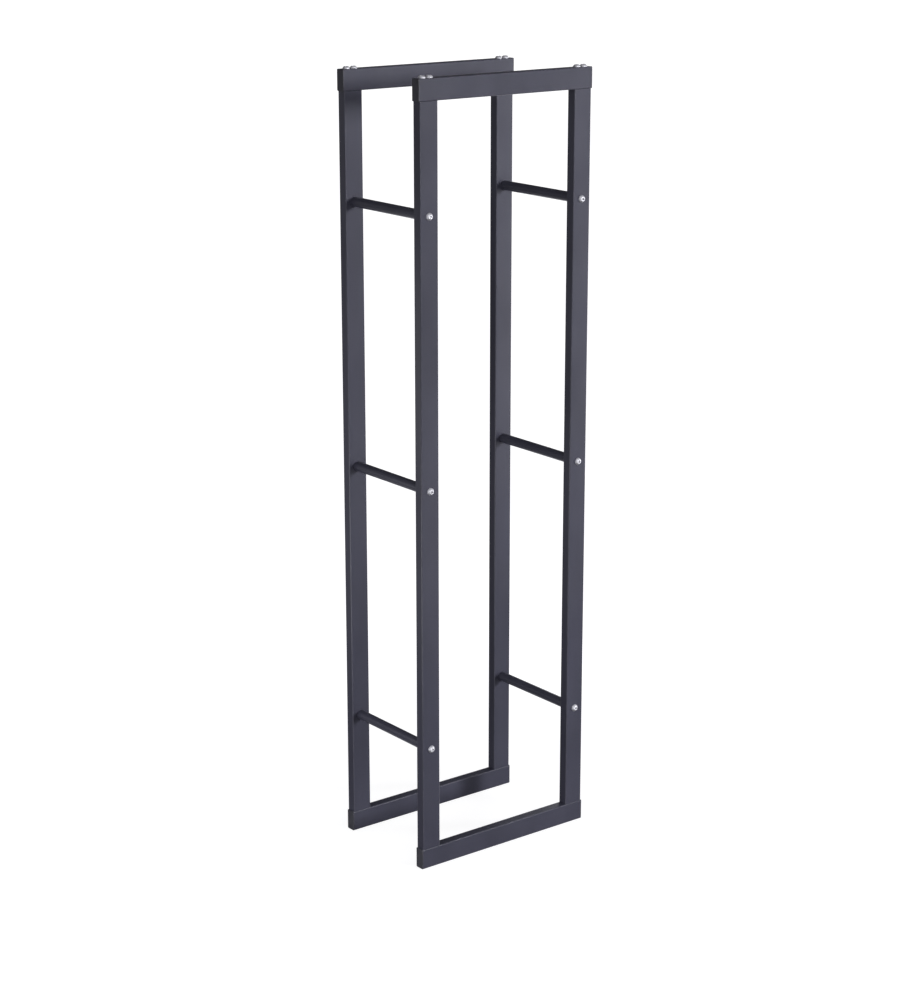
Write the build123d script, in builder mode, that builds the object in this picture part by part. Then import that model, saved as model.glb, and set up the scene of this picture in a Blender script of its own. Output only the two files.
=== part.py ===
from build123d import *
import os

# A tall, slim firewood rack. Two upright rectangular frames of rectangular tube stand one behind
# the other and are joined by six round bars. Everything is bolted, so nothing moves.
# Millimetres. +X runs along the width, +Y from the front frame to the back frame, +Z up.
# The origin is the middle of the footprint, on the ground.

# Overall size, without the screw heads
WIDTH = 400.0
DEPTH = 250.0
HEIGHT = 1500.0

# Rectangular tube of the frames: its wide side faces the front and the back
TUBE_FACE = 40.0
TUBE_SIDE = 20.0
TUBE_WALL = 1.0
TUBE_CORNER = 2.0
TUBE_INNER_FACE = TUBE_FACE - 2 * TUBE_WALL
TUBE_INNER_SIDE = TUBE_SIDE - 2 * TUBE_WALL
TUBE_INNER_CORNER = TUBE_CORNER - TUBE_WALL

# End caps of the rails: a flange over the tube's end and a finned plug inside it
CAP_FLANGE = 2.0
CAP_EDGE = 0.6
CAP_PLUG_DEPTH = 4.5
CAP_PLUG_GAP = 2.0
CAP_PLUG_WALL = 1.6
CAP_PLUG_CORNER = 1.0
CAP_FIN_COUNT = 2
CAP_FIN_THICKNESS = 0.8
CAP_FIN_PITCH = 1.8
CAP_FIN_CLEARANCE = 0.1

# Frames: each rail lies over the ends of two uprights
RAIL_LENGTH = WIDTH - 2 * CAP_FLANGE
UPRIGHT_LENGTH = HEIGHT - 2 * TUBE_FACE
UPRIGHT_X = (RAIL_LENGTH - TUBE_FACE) / 2
FRAME_Y = (DEPTH - TUBE_SIDE) / 2

# Round bars between the frames, three on each side, evenly spaced about half height
BAR_RADIUS = 9.5
BAR_WALL = 1.2
BAR_SPACING = 507.0
BAR_LENGTH = DEPTH - 2 * TUBE_SIDE
INSERT_LENGTH = 25.0
INSERT_RADIUS = BAR_RADIUS - BAR_WALL

# M8 button-head screws with a hexagon socket. Threads are plain cylinders at the major diameter.
SCREW_RADIUS = 4.0
THREAD_RADIUS = 4.05
CLEARANCE_RADIUS = 4.3
SCREW_TIP_CHAMFER = 1.0
HEAD_RADIUS = 7.0
HEAD_HEIGHT = 4.4
HEAD_RIM = 0.5
HEAD_FLAT_RADIUS = 3.7
HEAD_DOME_RADIUS = 6.4
SOCKET_ACROSS_FLATS = 5.0
SOCKET_DEPTH = 2.8
BAR_SCREW_LENGTH = 40.0
TOP_SCREW_LENGTH = 50.0
BOTTOM_SCREW_LENGTH = 12.0

# Corner joints: two screws side by side into a nut block in the upright's end
CORNER_SCREW_PITCH = 16.0
NUT_BLOCK_HEIGHT = 10.0
ACCESS_SLOT_WIDTH = 15.0
MOUTH_CHAMFER = 0.6

SIDES = {"left": -1, "right": 1}
FRAMES = {"front": -1, "back": 1}
LEVELS = {"lower": -1, "middle": 0, "upper": 1}


def bar_height(level):
    """Height of a bar's axis above the ground."""
    return HEIGHT / 2 + level * BAR_SPACING


def bar_screw_seat(side, frame, level):
    """Plane on the outer face of an upright, on the axis of a bar."""
    origin = (side * UPRIGHT_X, frame * DEPTH / 2, bar_height(level))
    return Plane(origin, z_dir=(0, frame, 0))


def corner_screw_x():
    """X of every corner screw of one frame: two beside each other over each upright."""
    pair = (-CORNER_SCREW_PITCH / 2, CORNER_SCREW_PITCH / 2)
    return [side * UPRIGHT_X + offset for side in SIDES.values() for offset in pair]


def save(part, label):
    """Labels a finished piece and writes its STEP file."""
    part.label = label
    export_step(part, f"parts/{label}.step")


def make_upright(side, frame):
    """Vertical tube, drilled right through for the screw of each bar."""
    x = side * UPRIGHT_X
    with BuildPart() as upright:
        with BuildSketch(Plane((x, frame * FRAME_Y, TUBE_FACE))):
            RectangleRounded(TUBE_FACE, TUBE_SIDE, TUBE_CORNER)
            RectangleRounded(TUBE_INNER_FACE, TUBE_INNER_SIDE, TUBE_INNER_CORNER, mode=Mode.SUBTRACT)
        extrude(amount=UPRIGHT_LENGTH)
        with Locations(*[bar_screw_seat(side, frame, level) for level in LEVELS.values()]):
            Hole(CLEARANCE_RADIUS, depth=TUBE_SIDE)
    return upright.part


def make_rail_tube(frame, base):
    """Horizontal tube of a frame, its underside at height base, not yet drilled."""
    with BuildPart() as tube:
        origin = (-RAIL_LENGTH / 2, frame * FRAME_Y, base + TUBE_FACE / 2)
        with BuildSketch(Plane(origin, x_dir=(0, 1, 0), z_dir=(1, 0, 0))):
            RectangleRounded(TUBE_SIDE, TUBE_FACE, TUBE_CORNER)
            RectangleRounded(TUBE_INNER_SIDE, TUBE_INNER_FACE, TUBE_INNER_CORNER, mode=Mode.SUBTRACT)
        extrude(amount=RAIL_LENGTH)
    return tube.part


def make_top_rail(frame):
    """Top rail: the corner screws pass down through both of its walls."""
    with BuildPart() as rail:
        add(make_rail_tube(frame, HEIGHT - TUBE_FACE))
        with Locations(*[(x, frame * FRAME_Y, HEIGHT) for x in corner_screw_x()]):
            Hole(CLEARANCE_RADIUS, depth=TUBE_FACE)
    return rail.part


def make_bottom_rail(frame):
    """Bottom rail: the screw heads sit inside it, reached through a slot in its underside."""
    with BuildPart() as rail:
        add(make_rail_tube(frame, 0))
        with Locations(*[(x, frame * FRAME_Y, TUBE_FACE) for x in corner_screw_x()]):
            Hole(CLEARANCE_RADIUS, depth=TUBE_WALL)
        with BuildSketch(Plane((0, frame * FRAME_Y, 0))):
            with Locations(*[(side * UPRIGHT_X, 0) for side in SIDES.values()]):
                SlotCenterToCenter(CORNER_SCREW_PITCH, ACCESS_SLOT_WIDTH)
        extrude(amount=TUBE_WALL, mode=Mode.SUBTRACT)
    return rail.part


def make_rail_cap(side, frame, base):
    """End cap of a rail: rounded flange outside, hollow plug with fins inside the tube."""
    origin = (side * RAIL_LENGTH / 2, frame * FRAME_Y, base + TUBE_FACE / 2)
    seat = Plane(origin, x_dir=(0, 1, 0), z_dir=(side, 0, 0))
    plug_side = TUBE_INNER_SIDE - 2 * CAP_PLUG_GAP
    plug_face = TUBE_INNER_FACE - 2 * CAP_PLUG_GAP
    fin_side = TUBE_INNER_SIDE - 2 * CAP_FIN_CLEARANCE
    fin_face = TUBE_INNER_FACE - 2 * CAP_FIN_CLEARANCE
    with BuildPart() as cap:
        with BuildSketch(seat):
            RectangleRounded(TUBE_SIDE, TUBE_FACE, TUBE_CORNER)
        extrude(amount=CAP_FLANGE)
        outer_face = cap.faces().sort_by(Axis.X)[-1 if side > 0 else 0]
        fillet(outer_face.edges(), CAP_EDGE)
        with BuildSketch(seat):
            RectangleRounded(plug_side, plug_face, CAP_PLUG_CORNER)
        extrude(amount=-CAP_PLUG_DEPTH)
        for fin in range(1, CAP_FIN_COUNT + 1):
            with BuildSketch(seat.offset(-fin * CAP_FIN_PITCH)):
                RectangleRounded(fin_side, fin_face, TUBE_INNER_CORNER)
            extrude(amount=CAP_FIN_THICKNESS)
        with BuildSketch(seat.offset(-CAP_PLUG_DEPTH)):
            Rectangle(plug_side - 2 * CAP_PLUG_WALL, plug_face - 2 * CAP_PLUG_WALL)
        extrude(amount=CAP_PLUG_DEPTH, mode=Mode.SUBTRACT)
    return cap.part


def make_nut_block(side, frame, base):
    """Block welded flush into the end of an upright, with two threaded holes."""
    with BuildPart() as block:
        with BuildSketch(Plane((side * UPRIGHT_X, frame * FRAME_Y, base))):
            RectangleRounded(TUBE_INNER_FACE, TUBE_INNER_SIDE, TUBE_INNER_CORNER)
            with GridLocations(CORNER_SCREW_PITCH, 0, 2, 1):
                Circle(THREAD_RADIUS, mode=Mode.SUBTRACT)
        extrude(amount=NUT_BLOCK_HEIGHT)
        mouths = block.edges().filter_by(GeomType.CIRCLE).sort_by(SortBy.RADIUS)[-4:]
        chamfer(mouths, MOUTH_CHAMFER)
    return block.part


def make_bar(side, level):
    """Round tube that butts against the inner faces of the two uprights of one side."""
    with BuildPart() as bar:
        start = Plane((side * UPRIGHT_X, -BAR_LENGTH / 2, bar_height(level)), z_dir=(0, 1, 0))
        with BuildSketch(start):
            Circle(BAR_RADIUS)
            Circle(INSERT_RADIUS, mode=Mode.SUBTRACT)
        extrude(amount=BAR_LENGTH)
    return bar.part


def make_bar_insert(side, frame, level):
    """Threaded bush fixed flush inside one end of a bar."""
    with BuildPart() as insert:
        end = Plane((side * UPRIGHT_X, frame * BAR_LENGTH / 2, bar_height(level)), z_dir=(0, -frame, 0))
        with BuildSketch(end):
            Circle(INSERT_RADIUS)
            Circle(THREAD_RADIUS, mode=Mode.SUBTRACT)
        extrude(amount=INSERT_LENGTH)
        mouths = insert.edges().filter_by(GeomType.CIRCLE).sort_by(SortBy.RADIUS)[:2]
        chamfer(mouths, MOUTH_CHAMFER)
    return insert.part


def make_screw(length):
    """Button-head screw, seated on the XY plane with its shank along -Z."""
    with BuildPart() as screw:
        with BuildSketch(Plane.XZ):
            with BuildLine():
                Polyline(
                    (0, HEAD_HEIGHT),
                    (0, -length),
                    (SCREW_RADIUS - SCREW_TIP_CHAMFER, -length),
                    (SCREW_RADIUS, -length + SCREW_TIP_CHAMFER),
                    (SCREW_RADIUS, 0),
                    (HEAD_RADIUS, 0),
                    (HEAD_RADIUS, HEAD_RIM),
                )
                RadiusArc((HEAD_RADIUS, HEAD_RIM), (HEAD_FLAT_RADIUS, HEAD_HEIGHT), -HEAD_DOME_RADIUS)
                Line((HEAD_FLAT_RADIUS, HEAD_HEIGHT), (0, HEAD_HEIGHT))
            make_face()
        revolve(axis=Axis.Z)
        with BuildSketch(Plane.XY.offset(HEAD_HEIGHT)):
            RegularPolygon(SOCKET_ACROSS_FLATS / 2, 6, major_radius=False)
        extrude(amount=-SOCKET_DEPTH, mode=Mode.SUBTRACT)
    return screw.part


def make_screw_set(length, seats):
    """Identical screws, one on each seat plane, whose normal points out of the head."""
    screw = make_screw(length)
    with BuildPart() as screws:
        with Locations(*seats):
            add(screw)
    return screws.part


os.makedirs("parts", exist_ok=True)

for side_name, side in SIDES.items():
    for frame_name, frame in FRAMES.items():
        save(make_upright(side, frame), f"{frame_name}_{side_name}_upright")
        save(make_nut_block(side, frame, HEIGHT - TUBE_FACE - NUT_BLOCK_HEIGHT),
             f"{frame_name}_{side_name}_top_nut_block")
        save(make_nut_block(side, frame, TUBE_FACE), f"{frame_name}_{side_name}_bottom_nut_block")
        save(make_rail_cap(side, frame, HEIGHT - TUBE_FACE), f"{frame_name}_{side_name}_top_cap")
        save(make_rail_cap(side, frame, 0), f"{frame_name}_{side_name}_bottom_cap")

for frame_name, frame in FRAMES.items():
    save(make_top_rail(frame), f"{frame_name}_top_rail")
    save(make_bottom_rail(frame), f"{frame_name}_bottom_rail")

for side_name, side in SIDES.items():
    for level_name, level in LEVELS.items():
        save(make_bar(side, level), f"{side_name}_{level_name}_bar")
        for frame_name, frame in FRAMES.items():
            save(make_bar_insert(side, frame, level), f"{side_name}_{level_name}_bar_{frame_name}_insert")

for frame_name, frame in FRAMES.items():
    bar_seats = [
        bar_screw_seat(side, frame, level)
        for side in SIDES.values()
        for level in LEVELS.values()
    ]
    top_seats = [Plane((x, frame * FRAME_Y, HEIGHT)) for x in corner_screw_x()]
    ceiling = TUBE_FACE - TUBE_WALL
    bottom_seats = [Plane((x, frame * FRAME_Y, ceiling), z_dir=(0, 0, -1)) for x in corner_screw_x()]
    save(make_screw_set(BAR_SCREW_LENGTH, bar_seats), f"{frame_name}_bar_screws")
    save(make_screw_set(TOP_SCREW_LENGTH, top_seats), f"{frame_name}_top_corner_screws")
    save(make_screw_set(BOTTOM_SCREW_LENGTH, bottom_seats), f"{frame_name}_bottom_corner_screws")
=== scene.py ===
"""Firewood log rack: materials, floor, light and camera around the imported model.

Metres, in the rack's own frame: +X along its width, +Y from the front frame to the back frame,
+Z up, the origin in the middle of the footprint on the floor.
"""
import math

import bpy
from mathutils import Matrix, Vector


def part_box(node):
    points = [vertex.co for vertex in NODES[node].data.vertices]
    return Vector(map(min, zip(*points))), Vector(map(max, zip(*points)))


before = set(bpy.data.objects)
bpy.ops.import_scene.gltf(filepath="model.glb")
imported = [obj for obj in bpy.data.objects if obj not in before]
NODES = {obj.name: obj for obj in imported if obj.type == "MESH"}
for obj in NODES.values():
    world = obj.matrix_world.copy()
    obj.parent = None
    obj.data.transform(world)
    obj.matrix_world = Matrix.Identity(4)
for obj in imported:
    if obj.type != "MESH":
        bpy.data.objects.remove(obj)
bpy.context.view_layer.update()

# Camera: near the photograph's place and lens, but pitched down where that one was shifted
CAMERA_AZIMUTH = math.radians(-37.75)
CAMERA_ELEVATION = math.radians(15.82)
CAMERA_DISTANCE = 4.43
CAMERA_AIM = Vector((0.0, 0.01, 0.673))
CAMERA_LENS_MM = 82.36

# Stage
FLOOR_RADIUS = 60.0
BACKDROP_RADIUS = 58.0
FLOOR_ALBEDO = 0.35
FLOOR_GLOW_NEAR = 0.84
FLOOR_GLOW_FAR = 1.0
GLOW_NEAR_RADIUS = 0.3
GLOW_FAR_RADIUS = 1.2


# --- node helpers -------------------------------------------------------------------------------

class Shader:
    """A material's node tree, with one method for each kind of step it is built from."""

    def __init__(self, name):
        self.material = bpy.data.materials.new(name)
        self.material.use_nodes = True
        self.tree = self.material.node_tree
        self.surface = self.tree.nodes["Principled BSDF"]
        coordinates = self.tree.nodes.new("ShaderNodeTexCoord")
        self.place = coordinates.outputs["Object"]
        self.normal = self.tree.nodes.new("ShaderNodeNewGeometry").outputs["Normal"]

    def link(self, value, socket):
        """Feeds a socket from another socket, or sets its constant."""
        if isinstance(value, bpy.types.NodeSocket):
            self.tree.links.new(value, socket)
        else:
            socket.default_value = value

    def math(self, operation, *values):
        node = self.tree.nodes.new("ShaderNodeMath")
        node.operation = operation
        for socket, value in zip(node.inputs, values):
            self.link(value, socket)
        return node.outputs[0]

    def vector(self, operation, *values):
        node = self.tree.nodes.new("ShaderNodeVectorMath")
        node.operation = operation
        for socket, value in zip(node.inputs, values):
            self.link(value, socket)
        return node.outputs["Value" if operation in ("LENGTH", "DOT_PRODUCT") else "Vector"]

    def split(self, vector):
        node = self.tree.nodes.new("ShaderNodeSeparateXYZ")
        self.link(vector, node.inputs[0])
        return node.outputs

    def join(self, x, y, z):
        node = self.tree.nodes.new("ShaderNodeCombineXYZ")
        for socket, value in zip(node.inputs, (x, y, z)):
            self.link(value, socket)
        return node.outputs[0]

    def noise(self, grain, detail=2.0, roughness=0.5, stretch=(1.0, 1.0, 1.0)):
        """Noise of about 0 to 1 whose grains are that many metres across, before stretching."""
        node = self.tree.nodes.new("ShaderNodeTexNoise")
        node.inputs["Scale"].default_value = 1.0 / grain
        node.inputs["Detail"].default_value = detail
        node.inputs["Roughness"].default_value = roughness
        squeeze = tuple(1.0 / s for s in stretch)
        self.link(self.vector("MULTIPLY", self.place, squeeze), node.inputs["Vector"])
        return node.outputs["Fac"]

    def remap(self, value, low, high, to_low=0.0, to_high=1.0):
        """A smooth step of value from low to high, given as to_low to to_high."""
        node = self.tree.nodes.new("ShaderNodeMapRange")
        node.interpolation_type = "SMOOTHSTEP"
        for socket, number in zip(node.inputs, (value, low, high, to_low, to_high)):
            self.link(number, socket)
        return node.outputs[0]

    def mix(self, factor, first, second):
        node = self.tree.nodes.new("ShaderNodeMix")
        node.data_type = "RGBA"
        self.link(factor, node.inputs["Factor"])
        sockets = [s for s in node.inputs if s.type == "RGBA"]
        self.link(first, sockets[0])
        self.link(second, sockets[1])
        return next(s for s in node.outputs if s.type == "RGBA")

    def bump(self, height, distance, strength=1.0, over=None):
        """A bumped normal. height runs from 0 to 1 and stands for distance metres of relief."""
        node = self.tree.nodes.new("ShaderNodeBump")
        node.inputs["Strength"].default_value = strength
        node.inputs["Distance"].default_value = distance
        self.link(height, node.inputs["Height"])
        if over is not None:
            self.link(over, node.inputs["Normal"])
        return node.outputs[0]

    def finish(self, color, roughness, normal, **constants):
        """Wires the surface. The constants are set on the shader's own sockets."""
        self.link(color, self.surface.inputs["Base Color"])
        self.link(roughness, self.surface.inputs["Roughness"])
        self.link(normal, self.surface.inputs["Normal"])
        for name, value in constants.items():
            self.surface.inputs[name.replace("_", " ")].default_value = value
        return self.material


# --- materials ----------------------------------------------------------------------------------

COAT_DEEP = (0.034, 0.034, 0.049, 1.0)
COAT_LIGHT = (0.046, 0.046, 0.066, 1.0)
COAT_RUBBED = (0.085, 0.085, 0.100, 1.0)
COAT_DUST = (0.120, 0.118, 0.115, 1.0)
MOTTLE_SHARE = 0.65
SPECKLE_SHARE = 0.35
COAT_SATIN = (0.298, 0.322)
DUST_ROUGHNESS = 0.8
PLASTIC_DEEP = (0.032, 0.032, 0.040, 1.0)
PLASTIC_LIGHT = (0.044, 0.044, 0.054, 1.0)
PLASTIC_SCUFFED = (0.09, 0.09, 0.10, 1.0)
ZINC_DULL = (0.68, 0.68, 0.70, 1.0)
ZINC_BRIGHT = (0.78, 0.78, 0.81, 1.0)
SOCKET_PAINTED_SHADE = (0.30, 0.29, 0.29, 1.0)
SOCKET_EDGE = (0.0034, 0.0026)
RING_PITCH = 0.0006
STEEL_DEEP = (0.36, 0.36, 0.37, 1.0)
STEEL_LIGHT = (0.50, 0.50, 0.51, 1.0)


def coat_edges(shader):
    """1 on the rounded corners of a rectangular tube, 0 on its flat faces."""
    x, y, z = shader.split(shader.vector("ABSOLUTE", shader.normal))
    flattest = shader.math("MAXIMUM", x, shader.math("MAXIMUM", y, z))
    return shader.remap(flattest, 0.99, 0.82, 0.0, 1.0)


def powder_coat(name, edges):
    """Satin anthracite powder coat: orange peel, mottled tone, rubbed corners, a little dust."""
    shader = Shader(name)
    mottle = shader.noise(0.09, detail=3.0, stretch=(1.0, 1.0, 2.5))
    speckle = shader.noise(0.0007, detail=1.0)
    mottle = shader.math("MULTIPLY", mottle, MOTTLE_SHARE)
    speckle = shader.math("MULTIPLY", speckle, SPECKLE_SHARE)
    tone = shader.math("ADD", mottle, speckle)
    color = shader.mix(shader.remap(tone, 0.3, 0.7), COAT_DEEP, COAT_LIGHT)

    patches = shader.noise(0.05, detail=4.0, roughness=0.6)
    up = shader.remap(shader.split(shader.normal)[2], 0.9, 1.0)
    dust = shader.math("MULTIPLY", up, shader.remap(patches, 0.45, 0.75, 0.0, 0.08))
    color = shader.mix(dust, color, COAT_DUST)
    if edges:
        rub = shader.remap(shader.noise(0.02, detail=4.0, roughness=0.65), 0.35, 0.7, 0.05, 0.35)
        color = shader.mix(shader.math("MULTIPLY", coat_edges(shader), rub), color, COAT_RUBBED)

    smudges = shader.noise(0.045, detail=2.0, stretch=(1.0, 1.0, 2.0))
    satin = shader.remap(smudges, 0.3, 0.7, *COAT_SATIN)
    roughness = shader.math("ADD", satin, shader.math("MULTIPLY", dust, DUST_ROUGHNESS))
    peel = shader.bump(shader.noise(0.0022, detail=1.5), 0.00006, strength=0.5)
    grain = shader.bump(shader.noise(0.0005, detail=1.0), 0.00001, strength=0.5, over=peel)
    return shader.finish(color, roughness, grain, IOR=1.5, Specular_IOR_Level=0.5)


def moulded_plastic():
    """Anthracite end cap: fine spark-eroded grain, a touch duller than the coat."""
    shader = Shader("end_cap_plastic")
    mottle = shader.noise(0.012, detail=3.0)
    color = shader.mix(shader.remap(mottle, 0.3, 0.7), PLASTIC_DEEP, PLASTIC_LIGHT)
    scuffs = shader.noise(0.004, detail=5.0, roughness=0.7, stretch=(1.0, 4.0, 1.0))
    color = shader.mix(shader.remap(scuffs, 0.62, 0.78, 0.0, 0.35), color, PLASTIC_SCUFFED)
    roughness = shader.remap(mottle, 0.3, 0.7, 0.40, 0.50)
    grain = shader.bump(shader.noise(0.0004, detail=2.0), 0.00002, strength=0.6)
    return shader.finish(color, roughness, grain, IOR=1.49)


def zinc_plate(name, radius_from_axis):
    """Bright zinc plate with rings left by cold heading; down in the socket it is duller, and its
    colour is greyed as painted shade of the recess.
    """
    shader = Shader(name)
    radius = radius_from_axis(shader)
    blotch = shader.noise(0.003, detail=4.0, roughness=0.6)
    color = shader.mix(shader.remap(blotch, 0.3, 0.7), ZINC_DULL, ZINC_BRIGHT)
    socket = shader.remap(radius, *SOCKET_EDGE)
    # Painted shade: the zinc colour is mixed towards grey down in the hex socket, where the recess
    # is shaded
    color = shader.mix(shader.math("MULTIPLY", socket, 0.2), color, SOCKET_PAINTED_SHADE)
    dullness = shader.remap(blotch, 0.3, 0.7, 0.54, 0.62)
    roughness = shader.math("ADD", dullness, shader.math("MULTIPLY", socket, 0.1))
    rings = shader.math("SINE", shader.math("MULTIPLY", radius, 2 * math.pi / RING_PITCH))
    marks = shader.bump(rings, 0.000006, strength=0.4)
    pits = shader.bump(shader.noise(0.0005, detail=2.0), 0.00001, strength=0.4, over=marks)
    return shader.finish(color, roughness, pits, Metallic=1.0)


def bare_steel():
    """Plain machined steel of the pieces hidden inside the tubes."""
    shader = Shader("bare_steel")
    cut = shader.noise(0.0012, detail=3.0, stretch=(1.0, 1.0, 8.0))
    color = shader.mix(shader.remap(cut, 0.3, 0.7), STEEL_DEEP, STEEL_LIGHT)
    roughness = shader.remap(cut, 0.3, 0.7, 0.32, 0.48)
    return shader.finish(color, roughness, shader.bump(cut, 0.00002, strength=0.4), Metallic=1.0)


def middle(name):
    """The middle of a node's box."""
    low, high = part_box(name)
    return (low + high) / 2


# Screw axes, worked out from the bars and the uprights
BAR_X = middle("right_middle_bar").x
BAR_Z = middle("right_middle_bar").z
BAR_SPACING = middle("right_upper_bar").z - BAR_Z
FRAME_Y = middle("back_top_rail").y
SCREWS_LOW, SCREWS_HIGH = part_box("back_top_corner_screws")
SCREW_HEAD_WIDTH = SCREWS_HIGH.y - SCREWS_LOW.y
CORNER_OFFSET = SCREWS_HIGH.x - SCREW_HEAD_WIDTH / 2 - BAR_X


def folded(shader, value, centre):
    """Distance of value from centre or from its mirror image at -centre."""
    return shader.math("ABSOLUTE", shader.math("SUBTRACT", shader.math("ABSOLUTE", value), centre))


def bar_screw_radius(shader):
    """Distance from the axis of the nearest bar screw."""
    x, y, z = shader.split(shader.place)
    half = BAR_SPACING / 2
    wrapped = shader.math("WRAP", shader.math("SUBTRACT", z, BAR_Z), half, -half)
    return shader.vector("LENGTH", shader.join(folded(shader, x, BAR_X), 0.0, wrapped))


def corner_screw_radius(shader):
    """Distance from the axis of the nearest corner screw."""
    x, y, z = shader.split(shader.place)
    across = folded(shader, folded(shader, x, BAR_X), CORNER_OFFSET)
    return shader.vector("LENGTH", shader.join(across, folded(shader, y, FRAME_Y), 0.0))


def paint():
    """Gives every CAD node its material."""
    tube_coat = powder_coat("powder_coat_tube", edges=True)
    bar_coat = powder_coat("powder_coat_bar", edges=False)
    plastic = moulded_plastic()
    bar_zinc = zinc_plate("zinc_plate_bar_screws", bar_screw_radius)
    corner_zinc = zinc_plate("zinc_plate_corner_screws", corner_screw_radius)
    steel = bare_steel()
    by_ending = {
        "_upright": tube_coat,
        "_rail": tube_coat,
        "_bar": bar_coat,
        "_cap": plastic,
        "_bar_screws": bar_zinc,
        "_corner_screws": corner_zinc,
        "_insert": steel,
        "_nut_block": steel,
    }
    for name, node in NODES.items():
        material = next(m for ending, m in by_ending.items() if name.endswith(ending))
        for slot in node.material_slots:
            slot.material = material


# --- stage --------------------------------------------------------------------------------------

def seen_by_camera_only(obj):
    """The studio's soft light comes from the world, so the white stage doesn't block or add any."""
    obj.visible_diffuse = False
    obj.visible_glossy = False
    obj.visible_transmission = False
    obj.visible_volume_scatter = False
    obj.visible_shadow = False


def stage_object(name, mesh, material):
    obj = bpy.data.objects.new(name, mesh)
    bpy.context.scene.collection.objects.link(obj)
    mesh.materials.append(material)
    seen_by_camera_only(obj)
    return obj


def disc(name, radius, sides=96):
    mesh = bpy.data.meshes.new(name)
    turn = 2 * math.pi / sides
    rim = [(radius * math.cos(k * turn), radius * math.sin(k * turn), 0.0) for k in range(sides)]
    mesh.from_pydata(rim, [], [tuple(range(sides))])
    return mesh


def drum(name, radius, low, high, sides=96):
    """A wall round the scene, which closes the view above the floor's edge."""
    mesh = bpy.data.meshes.new(name)
    turn = 2 * math.pi / sides
    rim = [(radius * math.cos(k * turn), radius * math.sin(k * turn)) for k in range(sides)]
    points = [(x, y, z) for z in (low, high) for x, y in rim]
    walls = [(k, (k + 1) % sides, sides + (k + 1) % sides, sides + k) for k in range(sides)]
    mesh.from_pydata(points, [], walls + [tuple(range(sides, 2 * sides))])
    return mesh


def glowing(name, albedo, near, far):
    """White, lit partly by the lights, and glowing from near to far strength away from the rack."""
    shader = Shader(name)
    distance = shader.vector("LENGTH", shader.place)
    glow = shader.remap(distance, GLOW_NEAR_RADIUS, GLOW_FAR_RADIUS, near, far)
    shader.link(glow, shader.surface.inputs["Emission Strength"])
    shader.surface.inputs["Emission Color"].default_value = (1.0, 1.0, 1.0, 1.0)
    shader.surface.inputs["Base Color"].default_value = (albedo, albedo, albedo, 1.0)
    shader.surface.inputs["Roughness"].default_value = 1.0
    shader.surface.inputs["Specular IOR Level"].default_value = 0.0
    return shader.material


def build_stage():
    floor = glowing("pale_floor", FLOOR_ALBEDO, FLOOR_GLOW_NEAR, FLOOR_GLOW_FAR)
    stage_object("floor", disc("floor", FLOOR_RADIUS), floor)
    wall = drum("backdrop", BACKDROP_RADIUS, -1.0, 2 * BACKDROP_RADIUS)
    stage_object("backdrop", wall, glowing("pale_backdrop", 0.0, 1.0, 1.0))


# --- light --------------------------------------------------------------------------------------

# Soft patches of the surround: azimuth, elevation, full within, gone beyond (degrees), strength
WORLD_LOBES = (
    (19, 6, 1.5, 5.0, 101.0),
    (21, 12, 1.5, 5.0, 80.0),
    (64, -30, 4, 18, 1.1),
    (0, -18, 8, 34, 0.37),
    (-30, -18, 8, 34, 0.47),
    (-60, -18, 8, 34, 0.47),
    (-38, 30, 10, 45, 0.95),
    (90, -18, 8, 34, 0.53),
    (90, 8, 8, 34, 0.42),
    (120, 8, 8, 34, 0.12),
    (120, -25, 8, 30, 0.95),
    (150, -28, 8, 30, 0.95),
    (180, 8, 8, 34, 0.32),
    (180, -38, 8, 34, 0.5),
    (208, 5, 8, 30, 0.06),
    (0, 90, 20, 60, 0.28),
)
SURROUND_COLOR = (0.95, 0.95, 1.0)

# Soft boxes and cards: azimuth, height of the middle, distance, tall, wide (m), power (W)
SOFT_BOXES = {
    "strip": (60, 1.0, 2.6, 2.2, 0.3, 28.0),
    "strip_low": (60, 0.3, 1.6, 0.6, 0.6, 0.68),
    "front_low": (22, 0.3, 1.6, 0.6, 0.6, 0.72),
    "rim": (120, 0.9, 1.2, 1.6, 0.4, 3.2),
    "left_card": (-90, 0.25, 1.2, 0.5, 0.4, 4.2),
    "left_card_rear": (-110, 0.25, 1.2, 0.5, 0.4, 1.4),
    "back_left_card": (-125, 0.75, 1.2, 0.5, 0.4, 0.7),
    "back_left_card_low": (-140, 0.25, 1.2, 0.5, 0.4, 0.12),
    "back_left_card_high": (-140, 1.35, 1.2, 0.6, 0.4, 0.15),
}


def from_angles(azimuth, elevation):
    """Unit vector to a place seen at that azimuth, turning from -Y towards +X, in degrees."""
    a, e = math.radians(azimuth), math.radians(elevation)
    return Vector((math.sin(a) * math.cos(e), -math.cos(a) * math.cos(e), math.sin(e)))


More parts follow.
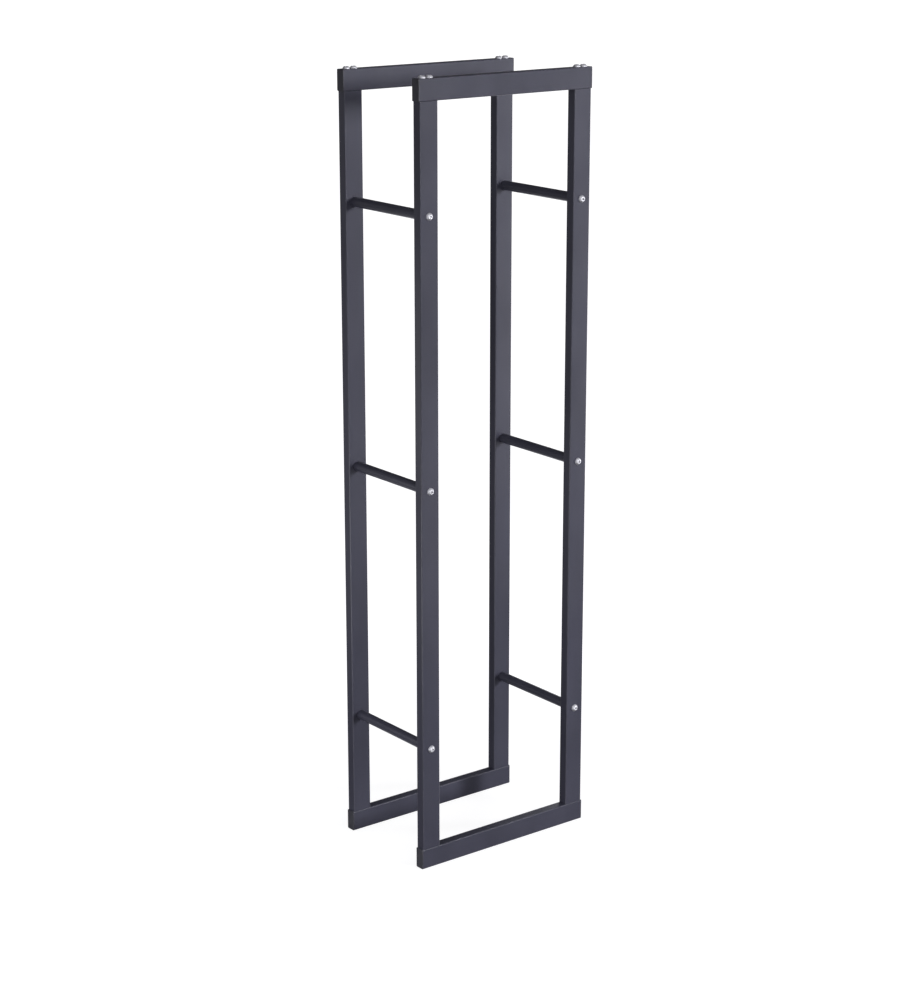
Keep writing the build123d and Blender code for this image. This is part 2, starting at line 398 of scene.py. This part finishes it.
def studio_world():
    """Surround of soft patches: small bright ones in front, dim wide ones round about."""
    world = bpy.data.worlds.new("studio")
    bpy.context.scene.world = world
    world.use_nodes = True
    tree = world.node_tree
    background = tree.nodes["Background"]
    place = tree.nodes.new("ShaderNodeTexCoord").outputs["Generated"]

    def lobe(azimuth, elevation, inner, outer, strength):
        """strength within inner degrees of a direction, falling smoothly to 0 at outer degrees."""
        dot = tree.nodes.new("ShaderNodeVectorMath")
        dot.operation = "DOT_PRODUCT"
        tree.links.new(place, dot.inputs[0])
        dot.inputs[1].default_value = from_angles(azimuth, elevation)
        step = tree.nodes.new("ShaderNodeMapRange")
        step.interpolation_type = "SMOOTHSTEP"
        tree.links.new(dot.outputs["Value"], step.inputs[0])
        step.inputs[1].default_value = math.cos(math.radians(outer))
        step.inputs[2].default_value = math.cos(math.radians(inner))
        step.inputs[4].default_value = strength
        return step.outputs[0]

    total = None
    for parts in WORLD_LOBES:
        value = lobe(*parts)
        if total is None:
            total = value
            continue
        add = tree.nodes.new("ShaderNodeMath")
        add.operation = "ADD"
        tree.links.new(total, add.inputs[0])
        tree.links.new(value, add.inputs[1])
        total = add.outputs[0]
    tree.links.new(total, background.inputs["Strength"])
    background.inputs["Color"].default_value = (*SURROUND_COLOR, 1.0)


def soft_box(name, azimuth, height, distance, tall, wide, power):
    """One upright area light that faces the rack's middle line at its own height."""
    light = bpy.data.lights.new(name, "AREA")
    light.shape = "RECTANGLE"
    light.size, light.size_y = wide, tall
    light.energy = power
    light.color = SURROUND_COLOR
    obj = bpy.data.objects.new(name, light)
    bpy.context.scene.collection.objects.link(obj)
    obj.location = Vector((0.0, 0.0, height)) + from_angles(azimuth, 0) * distance
    obj.rotation_euler = from_angles(azimuth, 0).to_track_quat("Z", "Y").to_euler()
    obj.visible_camera = False


def camera():
    """The photograph's viewpoint, aimed at the rack a little below half height."""
    data = bpy.data.cameras.new("camera")
    data.lens = CAMERA_LENS_MM
    obj = bpy.data.objects.new("camera", data)
    bpy.context.scene.collection.objects.link(obj)
    back = from_angles(math.degrees(CAMERA_AZIMUTH), math.degrees(CAMERA_ELEVATION))
    obj.location = CAMERA_AIM + back * CAMERA_DISTANCE
    obj.rotation_euler = back.to_track_quat("Z", "Y").to_euler()
    bpy.context.scene.camera = obj


paint()
build_stage()
studio_world()
for box_name, box in SOFT_BOXES.items():
    soft_box(box_name, *box)
camera()
bpy.context.scene.view_settings.view_transform = "Standard"
